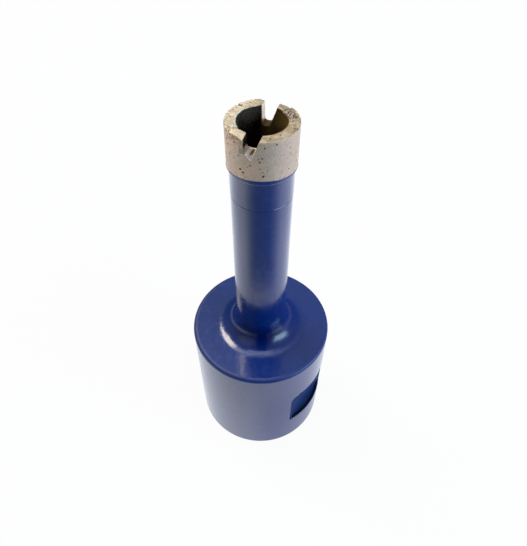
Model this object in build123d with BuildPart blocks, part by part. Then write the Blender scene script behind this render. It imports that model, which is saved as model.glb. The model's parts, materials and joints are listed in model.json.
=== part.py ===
"""Slotted diamond core bit: a turned steel body, a backing ring and a sintered crown.

The bit stands on its hub, with its axis on Z and its origin at the centre of the hub's foot.
Sizes are in millimetres and angles in degrees. Bearings are counted from -Y towards +X.
"""

import os
from math import cos, hypot, radians, sin, tan

from build123d import *

# Hub: the thick end, with the spindle thread in its foot
hub_diameter = 27.0
hub_length = 28.8
hub_edge_radius = 0.65
hub_foot_chamfer = 0.2

# Spindle socket: G1/2 thread, drawn as a plain wall at the thread's major diameter
thread_major_diameter = 20.955
thread_length = 16.0
thread_lead_in = 0.8
socket_point_angle = 118.0

# Wrench flats: two milled pockets, closed above and below
wrench_across_flats = 24.0
wrench_flat_height = 10.6
wrench_flat_foot = 8.2
wrench_flat_bearing = 55.3
wrench_flat_count = 2

# Tube and the shoulder that blends it into the hub
tube_diameter = 9.4
tube_length = 34.4
shoulder_radius = 4.05
core_bore_diameter = 7.6

# Backing ring: joins the crown to the tube
ring_diameter = 9.5
ring_length = 5.05
seam_chamfer = 0.12

# Crown: sintered ring, slotted twice across
crown_diameter = 10.1
crown_bore_diameter = 6.9
crown_height = 6.75
crown_edge_break = 0.1

# Slots: one straight cut from side to side, shallower at the front, with one sloping flank
slot_bearing = -17.0
slot_mouth_width = 2.2
slot_left_flank_angle = 1.0
slot_right_flank_angle = 19.0
slot_corner_radius = 0.4
slot_back_depth = 3.2
slot_front_depth = 1.95

# Spall: the piece broken out of the wall below the front slot
spall_left_reach = 1.1
spall_right_reach = 0.4
spall_drop = 1.05

# Broken rims: beside each slot, one segment of the top face has lost its outer edge
back_rim_start = 128.0
back_rim_arc = 26.0
back_rim_width = 1.45
back_rim_drop = 0.38
front_rim_start = -62.0
front_rim_arc = 36.0
front_rim_width = 1.55
front_rim_drop = 0.22

# Room that every cutter runs past the wall that it cuts
overrun = 1.0


def ray(bearing):
    """Horizontal unit direction at a bearing."""
    return Vector(sin(radians(bearing)), -cos(radians(bearing)), 0)


# ---------------------------------------------------------------- drill body
hub_radius = hub_diameter / 2
tube_radius = tube_diameter / 2
core_bore_radius = core_bore_diameter / 2
thread_radius = thread_major_diameter / 2
tube_top = hub_length + tube_length
socket_point_length = (thread_radius - core_bore_radius) / tan(radians(socket_point_angle / 2))

with BuildPart() as drill_body:
    # Outside, turned in one setting: hub, shoulder, tube
    with BuildSketch(Plane.XZ):
        with BuildLine():
            Polyline(
                (0, 0),
                (hub_radius, 0),
                (hub_radius, hub_length),
                (tube_radius, hub_length),
                (tube_radius, tube_top),
                (0, tube_top),
                close=True,
            )
        outline = make_face()
        foot = outline.vertices().group_by(Axis.Y)[0].sort_by(Axis.X)[-1]
        edge = outline.vertices().group_by(Axis.Y)[1].sort_by(Axis.X)[-1]
        root = outline.vertices().group_by(Axis.Y)[1].sort_by(Axis.X)[0]
        lip = outline.vertices().group_by(Axis.Y)[-1].sort_by(Axis.X)[-1]
        fillet(root, shoulder_radius)
        fillet(edge, hub_edge_radius)
        chamfer(foot, hub_foot_chamfer)
        chamfer(lip, seam_chamfer)
    revolve(axis=Axis.Z)

    # Inside: lead-in, threaded wall, drill point and the core bore up the tube
    with BuildSketch(Plane.XZ):
        with BuildLine():
            Polyline(
                (0, -overrun),
                (thread_radius + thread_lead_in + overrun, -overrun),
                (thread_radius, thread_lead_in),
                (thread_radius, thread_length),
                (core_bore_radius, thread_length + socket_point_length),
                (core_bore_radius, tube_top + overrun),
                (0, tube_top + overrun),
                close=True,
            )
        make_face()
    revolve(axis=Axis.Z, mode=Mode.SUBTRACT)

    # Wrench flats, milled square across the hub
    pocket_depth = hub_radius - wrench_across_flats / 2 + overrun
    with BuildSketch(Plane.XY.offset(wrench_flat_foot)):
        with PolarLocations(
            wrench_across_flats / 2 + pocket_depth / 2,
            wrench_flat_count,
            start_angle=wrench_flat_bearing - 90,
        ):
            Rectangle(pocket_depth, hub_diameter)
    extrude(amount=wrench_flat_height, mode=Mode.SUBTRACT)

drill_body.part.label = "drill_body"


# ---------------------------------------------------------------- backing ring
ring_radius = ring_diameter / 2
ring_top = tube_top + ring_length

with BuildPart() as backing_ring:
    with BuildSketch(Plane.XY.offset(tube_top)):
        Circle(ring_radius)
        Circle(core_bore_radius, mode=Mode.SUBTRACT)
    extrude(amount=ring_length)
    seam_edges = backing_ring.edges().group_by(Axis.Z)[0].sort_by(SortBy.RADIUS)
    chamfer(seam_edges[-1], seam_chamfer)

backing_ring.part.label = "backing_ring"


# ---------------------------------------------------------------- diamond crown
crown_radius = crown_diameter / 2
crown_bore_radius = crown_bore_diameter / 2
crown_wall = crown_radius - crown_bore_radius
crown_top = ring_top + crown_height
cutter_reach = crown_radius + overrun

slot_out = ray(slot_bearing)
slot_across = ray(slot_bearing + 90)
slot_plane = Plane(origin=(0, 0, crown_top), x_dir=slot_across, z_dir=slot_out)


def slot_section(depth):
    """Wedge-shaped slot with a round-cornered floor, open at the top."""
    half_mouth = slot_mouth_width / 2
    floor_left = depth * tan(radians(slot_left_flank_angle)) - half_mouth
    floor_right = half_mouth - depth * tan(radians(slot_right_flank_angle))
    with BuildSketch() as section:
        with BuildLine():
            Polyline(
                (-half_mouth, overrun),
                (-half_mouth, 0),
                (floor_left, -depth),
                (floor_right, -depth),
                (half_mouth, 0),
                (half_mouth, overrun),
                close=True,
            )
        make_face()
        fillet(section.vertices().group_by(Axis.Y)[0], slot_corner_radius)
    return section.sketch


back_slot = slot_section(slot_back_depth)
front_slot = slot_section(slot_front_depth)


# The spall runs up and inwards, from its tip on the outer wall to the slot's floor
spall_rise = Vector(0, 0, spall_drop) - slot_out * crown_wall
spall_tip = slot_out * crown_radius + Vector(0, 0, crown_top - slot_front_depth - spall_drop)
spall_plane = Plane(origin=spall_tip, x_dir=-slot_across, z_dir=spall_rise)
spall_height = spall_drop * crown_wall / hypot(spall_drop, crown_wall)



def rim_plane(start):
    """Upright plane through the axis at a bearing, with its origin level with the top face."""
    return Plane(origin=(0, 0, crown_top), x_dir=ray(start), z_dir=ray(start - 90))


def rim_section(width, drop):
    """Wedge that slopes from the top face down to the outer wall."""
    with BuildSketch() as section:
        with BuildLine():
            Polyline(
                (crown_radius - width, 0),
                (crown_radius + overrun, 0),
                (crown_radius + overrun, -drop),
                (crown_radius, -drop),
                close=True,
            )
        make_face()
    return section.sketch


back_rim = rim_section(back_rim_width, back_rim_drop)
front_rim = rim_section(front_rim_width, front_rim_drop)

with BuildPart() as diamond_crown:
    with BuildSketch(Plane.XY.offset(ring_top)):
        Circle(crown_radius)
        Circle(crown_bore_radius, mode=Mode.SUBTRACT)
    extrude(amount=crown_height)
    chamfer(diamond_crown.edges().group_by(Axis.Z)[-1], crown_edge_break)

    # Broken rims, two shallow cones over part of the top face
    with BuildSketch(rim_plane(back_rim_start)):
        add(back_rim)
    revolve(axis=Axis.Z, revolution_arc=back_rim_arc, mode=Mode.SUBTRACT)
    with BuildSketch(rim_plane(front_rim_start)):
        add(front_rim)
    revolve(axis=Axis.Z, revolution_arc=front_rim_arc, mode=Mode.SUBTRACT)

    # Slots, cut from the axis outwards to the back and to the front
    with BuildSketch(slot_plane):
        add(back_slot)
    extrude(amount=-cutter_reach, mode=Mode.SUBTRACT)
    with BuildSketch(slot_plane):
        add(front_slot)
    extrude(amount=cutter_reach, mode=Mode.SUBTRACT)

    with BuildSketch(spall_plane):
        with BuildLine():
            Polyline(
                (0, 0),
                (spall_left_reach, spall_height),
                (-spall_right_reach, spall_height),
                close=True,
            )
        make_face()
    extrude(amount=crown_wall + overrun, both=True, mode=Mode.SUBTRACT)

diamond_crown.part.label = "diamond_crown"


# ---------------------------------------------------------------- files
os.makedirs("parts", exist_ok=True)
export_step(drill_body.part, "parts/drill_body.step")
export_step(backing_ring.part, "parts/backing_ring.step")
export_step(diamond_crown.part, "parts/diamond_crown.step")
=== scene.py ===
"""Looks of a slotted diamond core bit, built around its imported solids.

The file is laid out as an add-on. Sizes and colours are in property groups, each piece has an
operator of its own, and so does the stage. Lengths are in metres, in the frame of the solids,
and bearings are counted from -Y towards +X.
"""

import json
from math import acos, atan2, cos, exp, hypot, log, pi, radians, sin, tan
from typing import NamedTuple

import bmesh
import bpy
import numpy as np
from bpy.props import FloatProperty, FloatVectorProperty, IntProperty, PointerProperty
from bpy.types import Operator, Panel, PropertyGroup
from mathutils import Matrix, Vector, noise


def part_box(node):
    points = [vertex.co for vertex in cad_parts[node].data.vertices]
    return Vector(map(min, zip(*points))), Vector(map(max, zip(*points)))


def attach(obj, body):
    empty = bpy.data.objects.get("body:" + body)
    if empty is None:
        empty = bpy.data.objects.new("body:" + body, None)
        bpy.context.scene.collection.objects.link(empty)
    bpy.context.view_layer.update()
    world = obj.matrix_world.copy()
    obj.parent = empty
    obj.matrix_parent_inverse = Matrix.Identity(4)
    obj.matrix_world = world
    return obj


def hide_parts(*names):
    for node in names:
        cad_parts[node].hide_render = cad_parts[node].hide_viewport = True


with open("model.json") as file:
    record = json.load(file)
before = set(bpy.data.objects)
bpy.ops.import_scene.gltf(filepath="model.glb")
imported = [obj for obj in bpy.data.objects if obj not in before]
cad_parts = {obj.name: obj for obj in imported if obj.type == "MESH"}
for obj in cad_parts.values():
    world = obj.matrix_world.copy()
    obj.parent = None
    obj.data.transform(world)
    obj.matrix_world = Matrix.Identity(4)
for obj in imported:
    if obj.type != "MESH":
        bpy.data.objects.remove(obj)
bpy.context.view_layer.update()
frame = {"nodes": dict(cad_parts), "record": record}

bl_info = {
    "name": "Diamond Core Bit",
    "version": (1, 0, 0),
    "blender": (4, 5, 0),
    "location": "View3D > Sidebar > Core Bit",
    "description": "Builds the visible pieces of a slotted diamond core bit",
    "category": "Add Mesh",
}

MM = 0.001
BODY = "root"

# Masks that the crown's finish reads from its mesh
MARKS = ("top", "bore", "cut", "stain", "fresh", "crumb")

# Middles of the crown's slots, in degrees
FRONT_SLOT = -17.0
BACK_SLOT = 163.0

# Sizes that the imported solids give
body_low, body_high = (Vector(corner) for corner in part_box("drill_body"))
ring_low, ring_high = (Vector(corner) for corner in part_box("backing_ring"))
crown_low, crown_high = (Vector(corner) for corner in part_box("diamond_crown"))
HUB_RADIUS = (body_high.x - body_low.x) / 2
RING_RADIUS = (ring_high.x - ring_low.x) / 2
CROWN_RADIUS = (crown_high.x - crown_low.x) / 2
TUBE_TOP = body_high.z
RING_TOP = ring_high.z
CROWN_TOP = crown_high.z


def mount(name):
    """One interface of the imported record, by name."""
    return next(entry for entry in frame["record"]["mounts"] if entry["name"] == name)


THREAD_RADIUS = mount("spindle_thread")["dims"]["r_mm"] * MM
THREAD_WALL = mount("spindle_thread")["dims"]["length_mm"] * MM
THREAD_MIDDLE = mount("spindle_thread")["pos_m"][2]
CORE_RADIUS = mount("core_bore")["dims"]["r_mm"] * MM
FLAT_PLACE = Vector(mount("wrench_flat_right")["pos_m"])
FLAT_DISTANCE = hypot(FLAT_PLACE.x, FLAT_PLACE.y)
FLAT_BEARING = atan2(FLAT_PLACE.x, -FLAT_PLACE.y)


def ray(bearing, elevation=0.0):
    """Unit direction at a bearing and an elevation, in radians."""
    flat = cos(elevation)
    return Vector((sin(bearing) * flat, -cos(bearing) * flat, sin(elevation)))


def length(default_mm, name, description):
    """A length property whose default is given in millimetres."""
    return FloatProperty(
        name=name,
        description=description,
        default=default_mm * MM,
        min=0.0,
        precision=5,
        unit="LENGTH",
    )


def angle(default_degrees, name, description):
    """An angle property whose default is given in degrees."""
    return FloatProperty(
        name=name,
        description=description,
        default=radians(default_degrees),
        subtype="ANGLE",
    )


def amount(default, name, description):
    """A plain number property."""
    return FloatProperty(name=name, description=description, default=default)


def colour(default, name, description):
    """A colour property, with its default as linear red, green and blue."""
    return FloatVectorProperty(
        name=name,
        description=description,
        default=default,
        size=3,
        min=0.0,
        max=1.0,
        subtype="COLOR",
    )


def glow(default, name, description):
    """A light's radiance, as linear red, green and blue."""
    return FloatVectorProperty(
        name=name,
        description=description,
        default=default,
        size=3,
        min=0.0,
        soft_max=20.0,
    )


def whole(default, name, description, low=0):
    """A whole number property."""
    return IntProperty(name=name, description=description, default=default, min=low)


# ---------------------------------------------------------------- settings


class BodySettings(PropertyGroup):
    """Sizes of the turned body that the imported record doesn't state."""

    hub_length: length(28.8, "Hub length", "Height of the hub's shoulder above its foot")
    hub_edge: length(0.65, "Hub edge", "Radius of the hub's upper edge")
    foot_chamfer: length(0.2, "Foot chamfer", "Chamfer round the hub's foot")
    tube_radius: length(4.7, "Tube radius", "Outer radius of the tube")
    bore_radius: length(3.8, "Bore radius", "Radius of the bore up the tube")
    shoulder: length(4.05, "Shoulder radius", "Radius of the fillet between hub and tube")
    point_angle: angle(118.0, "Point angle", "Full angle of the cone above the thread")
    flat_height: length(10.6, "Flat height", "Height of each wrench flat")
    flat_edge: length(0.12, "Flat edge", "Radius of the enamelled edges of the flats")
    flat_corner: length(1.9, "Flat corner", "Radius of the upper corners of the wrench flats")
    seam: length(0.12, "Seam", "Half the width of the groove at the seam above the tube")
    seam_depth: length(0.055, "Seam depth", "Depth of the groove, which the enamel half fills")
    coat: length(0.03, "Coat", "Thickness of the enamel that runs up over the crown's foot")
    coat_side: length(0.10, "Coat at the sides", "How far the enamel runs up at the sides")
    coat_front: length(0.56, "Coat in front", "How much further it runs up in front")
    columns: whole(224, "Columns", "Faces round the body", low=24)


class ThreadSettings(PropertyGroup):
    """Sizes of the spindle thread."""

    pitch: length(1.814, "Pitch", "Distance between the turns")
    depth: length(1.162, "Depth", "Height of the ridge over the wall")
    crest: length(0.42, "Crest width", "Width of the ridge at its crest")
    root: length(1.62, "Root width", "Width of the ridge where it stands on the wall")
    fade: amount(0.07, "Fade", "Share of the thread over which each end runs out")


class CrownSettings(PropertyGroup):
    """Sizes of the sintered crown's surface."""

    voxel: length(0.0755, "Voxel", "Size of the cells that the crown is remeshed to")
    side_grain: length(0.010, "Side grain", "Roughness of the outer wall")
    top_grain: length(0.030, "Top grain", "Roughness of the worn top")
    cut_grain: length(0.022, "Cut grain", "Roughness of the slots")
    spall_grain: length(0.11, "Spall grain", "Roughness of the spall under the front slot")
    crumble: length(0.26, "Crumble", "Depth of the crumbled part of the top")
    rim_chips: whole(70, "Rim chips", "Small chips round the rims")
    grit_radius: length(0.055, "Grit radius", "Mean radius of the small diamond grains")
    grit_density: amount(330000.0, "Grit density", "Small grains on each square metre")
    seed: whole(4, "Seed", "Seed of the chips and the grains")


class FinishSettings(PropertyGroup):
    """Colours of the finishes."""

    enamel: colour((0.0012, 0.020, 0.150), "Enamel", "Blue enamel of the body")
    enamel_thin: colour((0.003, 0.032, 0.215), "Thin enamel", "Enamel where it is thinner")
    # This tint is painted shade in front of the tube's foot
    enamel_painted_shade: colour((0.0002, 0.0015, 0.055), "Deep enamel", "Enamel where it pools")
    pocket: colour((0.0060, 0.023, 0.105), "Pocket", "Enamel in the milled pockets")
    pocket_thin: colour((0.011, 0.034, 0.145), "Thin pocket", "Enamel there where it is thinner")
    pocket_ledge: colour((0.022, 0.052, 0.125), "Pocket ledge", "Dusty enamel on the lower ledge")
    # This tint is painted shade along the outer edge of the pockets' lower ledge
    pocket_painted_shade: colour((0.001, 0.002, 0.008), "Pocket dirt", "Dirt at the ledge's outer edge")
    steel: colour((0.42, 0.41, 0.40), "Steel", "Bare turned steel in the socket")
    matrix: colour((0.780, 0.540, 0.395), "Matrix", "Sintered metal of the crown")
    matrix_grey: colour((0.650, 0.495, 0.385), "Grey matrix", "Greyer parts of the crown")
    matrix_rose: colour((0.680, 0.465, 0.370), "Rosy matrix", "Pinkish matrix, on the right")
    matrix_green: colour((0.630, 0.500, 0.320), "Green matrix", "Yellowish parts of the crown")
    worn: colour((0.720, 0.660, 0.450), "Worn", "Worn top of the crown, on the left")
    worn_pink: colour((0.760, 0.575, 0.430), "Worn pink", "Pinkish streaks in it")
    worn_tan: colour((0.46, 0.35, 0.20), "Worn tan", "Worn top of the crown, on the right")
    worn_cream: colour((0.600, 0.485, 0.340), "Worn cream", "Paler streaks in it")
    worn_dark: colour((0.30, 0.21, 0.12), "Worn dark", "Scored lines in it")
    # This colour is also a painted glint on the back slot's left flank
    fresh: colour((0.850, 0.820, 0.710), "Fresh break", "Fresh breaks of the crown")
    crumbled: colour((0.56, 0.45, 0.33), "Crumbled", "Crumbled part of the crown's top")
    # Colours inside the crown: black on the left and brown on the right
    bore_black: colour((0.014, 0.009, 0.006), "Burnt", "Slurry inside the crown, on the left")
    bore_pale: colour((0.075, 0.056, 0.044), "Burnt grey", "Paler slurry near the top")
    bore_brown: colour((0.17, 0.12, 0.035), "Burnt brown", "Slurry inside, on the right")
    bore_red: colour((0.10, 0.045, 0.02), "Burnt red", "Rust in the slurry")
    # This colour is also painted shade in crevices and under the front left flat
    pore_and_shade: colour((0.13, 0.08, 0.04), "Pore", "Pores, stains and pits of the crown")
    grit: colour((0.035, 0.021, 0.009), "Grit", "Diamond grains")


class StageSettings(PropertyGroup):
    """Camera, floor and lamps."""

    camera_back: length(56.04, "Camera distance", "How far the camera stands in front")
    camera_up: length(111.22, "Camera height", "How high the camera stands")
    camera_pitch: angle(50.192, "Camera pitch", "How far the camera looks down")
    camera_yaw: angle(0.416, "Camera yaw", "How far the camera looks to the right")
    camera_roll: angle(0.717, "Camera roll", "How far the camera leans to the left")
    focal: amount(32.457, "Focal length", "Focal length on a 36 mm high sensor")
    floor: colour((0.86, 0.86, 0.86), "Floor", "Floor under the bit")
    floor_glow: glow((0.99, 1.03, 1.09), "Floor glow", "Light that the floor gives the bit")
    front_glow: glow((0.175, 0.235, 0.28), "Front glow", "Light of the floor in front, in shade")
    sky: glow((0.12, 0.13, 0.15), "Sky", "Light from all round")
    back_sky: glow((0.36, 0.44, 0.58), "Back sky", "More light from behind")
    left_sky: glow((0.18, 0.18, 0.18), "Left sky", "More light from the left")
    right_sky: glow((0.22, 0.24, 0.28), "Right sky", "More light from the right")
    front_sky: glow((0.25, 0.26, 0.28), "Front sky", "More light from the front on the left")
    ceiling: glow((1.55, 1.70, 1.90), "Ceiling", "Light of the panel overhead")
    lamp: glow((14.00, 12.60, 10.60), "Lamp", "Light of the warm lamp behind on the left")
    window: glow((4.20, 6.35, 8.10), "Window", "Light of the cool window on the right")
    card: colour((0.01, 0.01, 0.012), "Card", "Dark card behind the camera")
    card_back: length(100.0, "Card distance", "How far in front the dark card stands")
    card_left: length(21.0, "Card left", "How far the dark card reaches to the left")
    card_right: length(36.0, "Card right", "How far the dark card reaches to the right")
    card_top: length(330.0, "Card top", "Height of the dark card's top")


class CoreBitSettings(PropertyGroup):
    """All settings of the core bit."""

    body: PointerProperty(type=BodySettings)
    thread: PointerProperty(type=ThreadSettings)
    crown: PointerProperty(type=CrownSettings)
    finish: PointerProperty(type=FinishSettings)
    stage: PointerProperty(type=StageSettings)


# ---------------------------------------------------------------- node trees


class Field:
    """A socket whose value can be written into an expression."""

    def __init__(self, graph, socket):
        self.graph = graph
        self.socket = socket

    def maths(self, operation, *values):
        """A Math node on these values."""
        return self.graph.node("ShaderNodeMath", values, operation=operation)

    def __add__(self, other):
        return self.maths("ADD", self, other)

    def __radd__(self, other):
        return self.maths("ADD", other, self)

    def __sub__(self, other):
        return self.maths("SUBTRACT", self, other)

    def __rsub__(self, other):
        return self.maths("SUBTRACT", other, self)

    def __mul__(self, other):
        return self.maths("MULTIPLY", self, other)

    def __rmul__(self, other):
        return self.maths("MULTIPLY", other, self)

    def __truediv__(self, other):
        return self.maths("DIVIDE", self, other)

    def __lt__(self, other):
        return self.maths("LESS_THAN", self, other)

    def __gt__(self, other):
        return self.maths("GREATER_THAN", self, other)


class Graph:
    """A node tree, and the one way to add a node to it."""

    def __init__(self, tree):
        self.tree = tree
        self.tree.nodes.clear()

    def node(self, kind, values=(), output=0, **settings):
        """Adds a node: its settings first, then its inputs, by order or by name."""
        made = self.tree.nodes.new(kind)
        for key, value in settings.items():
            setattr(made, key, value)
        named = values.items() if isinstance(values, dict) else enumerate(values)
        for key, value in named:
            if isinstance(value, Field):
                self.tree.links.new(value.socket, made.inputs[key])
            else:
                made.inputs[key].default_value = value
        return Field(self, made.outputs[output] if made.outputs else None)

    def blend(self, mask, first, second):
        """A colour between two, by a mask."""
        both = [each if isinstance(each, Field) else (*each, 1.0) for each in (first, second)]
        values = {0: mask, 6: both[0], 7: both[1]}
        return self.node("ShaderNodeMix", values, output=2, data_type="RGBA")

    def ease(self, value, low, high):
        """0 up to low, 1 from high on, and smooth between them."""
        values = {"Value": value, "From Min": low, "From Max": high}
        return self.node("ShaderNodeMapRange", values, interpolation_type="SMOOTHSTEP")

    def fade(self, value, low, high):
        """1 up to low, 0 from high on, and smooth between them."""
        return 1.0 - self.ease(value, low, high)

    def noise(self, place, scale, detail=3.0, roughness=0.5, **settings):
        """Noise between 0 and 1 at a place, with a scale in waves per metre."""
        name = "W" if settings.get("noise_dimensions") == "1D" else "Vector"
        values = {name: place, "Scale": scale, "Detail": detail, "Roughness": roughness}
        return self.node("ShaderNodeTexNoise", values, **settings)

    def split(self, vector):
        """The three parts of a vector."""
        made = self.node("ShaderNodeSeparateXYZ", (vector,))
        return [Field(self, socket) for socket in made.socket.node.outputs]

    def join(self, x, y, z=0.0):
        """A vector from its three parts."""
        return self.node("ShaderNodeCombineXYZ", (x, y, z))

    def vector(self, operation, *values, output=0):
        """A Vector Math node on these values."""
        return self.node("ShaderNodeVectorMath", values, output, operation=operation)

    def scaled(self, vector, factor):
        """A vector times a number."""
        return self.node("ShaderNodeVectorMath", {0: vector, 3: factor}, operation="SCALE")

    def cone(self, direction, axis, inner, outer):
        """1 within an inner angle of an axis and 0 past an outer one, both in degrees."""
        toward = self.vector("DOT_PRODUCT", direction, axis, output=1)
        return self.ease(toward, cos(radians(outer)), cos(radians(inner)))


def new_material(name):
    """The graph of a new, empty material."""
    material = bpy.data.materials.new(name)
    material.use_nodes = True
    return Graph(material.node_tree)


def finish_material(graph, shader):
    """Sends a shader to the material's output."""
    graph.node("ShaderNodeOutputMaterial", (shader,))


def principled(graph, values):
    """A Principled shader with these values on its sockets."""
    return graph.node("ShaderNodeBsdfPrincipled", values)


def object_place(graph):
    """Object coordinates, in metres."""
    return graph.node("ShaderNodeTexCoord", output=3)


def from_axis(graph, x, y):
    """The distance from the bit's axis."""
    return graph.vector("LENGTH", graph.join(x, y), output=1)


def turning_marks(graph, scale, detail, roughness):
    """Fine lines round a piece, by the way along its turned profile."""
    along = graph.split(graph.node("ShaderNodeTexCoord", output=2))[1]
    return graph.noise(along, scale, detail, roughness, noise_dimensions="1D")


def bump(graph, height, distance, normal=None):
    """A normal bent by a height between 0 and 1 that stands for a distance in metres."""
    values = {"Strength": 1.0, "Distance": distance, "Height": height}
    if normal:
        values["Normal"] = normal
    return graph.node("ShaderNodeBump", values)


# ---------------------------------------------------------------- finishes


def enamel(bit):
    """Glossy blue enamel over turned steel, with the turning marks faintly showing."""
    tints, hub_top = bit.finish, bit.body.hub_length
    graph = new_material("gloss_enamel")
    place = object_place(graph)
    x, y, z = graph.split(place)
    radius = from_axis(graph, x, y)
    cloud = graph.noise(place, 260.0, detail=2.0)
    patch = graph.noise(place, 900.0, detail=2.0)
    peel = graph.noise(place, 1500.0, detail=1.0)
    marks = turning_marks(graph, 4200.0, 2.0, 0.7) * graph.ease(patch, 0.35, 0.65)
    thin = graph.ease(cloud * 0.6 + marks * 0.4, 0.36, 0.66)

    def near(low, high):
        """1 up to a distance from the axis in millimetres, and 0 past it."""
        return graph.fade(radius, low * MM, high * MM)

    def above(low, high):
        """0 up to a height over the hub's top in millimetres, and 1 above it."""
        return graph.ease(z, hub_top + low * MM, hub_top + high * MM)

    # Painted shade darkens the enamel in front of the tube's foot. The paint lies smooth round
    # the foot, is softer where the fillet ends on the right and on the level top, and is worn
    # matt on the hub's edge
    painted_foot_shade = near(5.0, 8.0) * graph.ease(0.0 - y, 1.0 * MM, 4.6 * MM) * (1.0 - above(2.7, 5.7))
    foot = near(6.0, 8.0) * (1.0 - above(4.2, 9.2))
    soft = near(8.6, 9.6) * graph.ease(x, 1.0 * MM, 2.6 * MM) * (1.0 - above(3.2, 5.2))
    level = above(-0.2, -0.05) * (1.0 - above(0.05, 0.3))
    edge = above(-0.9, -0.5) * graph.ease(radius, HUB_RADIUS - 0.9 * MM, HUB_RADIUS - 0.6 * MM)

    shade = graph.blend(thin * 0.6, tints.enamel, tints.enamel_thin)
    normal = bump(graph, marks, 0.012 * MM)
    rough = 0.12 + cloud * 0.08 + marks * 0.05 + edge * 0.30 + level * 0.03 + soft * 0.08
    values = {
        "Base Color": graph.blend(painted_foot_shade * 0.8, shade, tints.enamel_painted_shade),
        "Roughness": rough,
        "Normal": bump(graph, peel * (1.0 - foot * 0.8), 0.008 * MM, normal),
        "IOR": 1.55,
        "Coat Weight": 0.25 - edge * 0.25 - soft * 0.25,
        "Coat Roughness": 0.07,
    }
    finish_material(graph, principled(graph, values))


def milled_enamel(bit):
    """Thin matt enamel in the milled pockets, with painted shade along the lower ledge's outer
    edge.
    """
    tints = bit.finish
    ledge = FLAT_PLACE.z - bit.body.flat_height / 2
    graph = new_material("milled_enamel")
    place = object_place(graph)
    x, y, z = graph.split(place)
    radius = from_axis(graph, x, y)
    cloud = graph.noise(place, 700.0, roughness=0.6)
    thin = graph.ease(cloud, 0.35, 0.7)
    low = graph.fade(z, ledge + 0.15 * MM, ledge + 0.5 * MM)
    # Painted shade along the lower ledge's outer edge
    rim = graph.ease(radius + cloud * 0.4 * MM, HUB_RADIUS - 0.75 * MM, HUB_RADIUS - 0.4 * MM)
    shade = graph.blend(thin, tints.pocket, tints.pocket_thin)
    shade = graph.blend(low * (0.4 + 0.6 * thin), shade, tints.pocket_ledge)
    values = {
        "Base Color": graph.blend(low * rim * 0.9, shade, tints.pocket_painted_shade),
        "Roughness": 0.5 + cloud * 0.2,
        "Normal": bump(graph, cloud, 0.03 * MM),
        "IOR": 1.14,
    }
    finish_material(graph, principled(graph, values))


def turned_steel(bit):
    """Bare machined steel under a film of oil, with fine marks of the turning tool."""
    steel = bit.finish.steel
    graph = new_material("bare_steel")
    marks = turning_marks(graph, 9000.0, 3.0, 0.8)
    oil = graph.ease(graph.noise(object_place(graph), 300.0), 0.5, 0.75)
    values = {
        "Base Color": graph.blend(oil * 0.6, steel, [part * 0.45 for part in steel]),
        "Metallic": 1.0,
        "Roughness": 0.28 + marks * 0.2,
        "Normal": bump(graph, marks, 0.008 * MM),
    }
    finish_material(graph, principled(graph, values))


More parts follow.
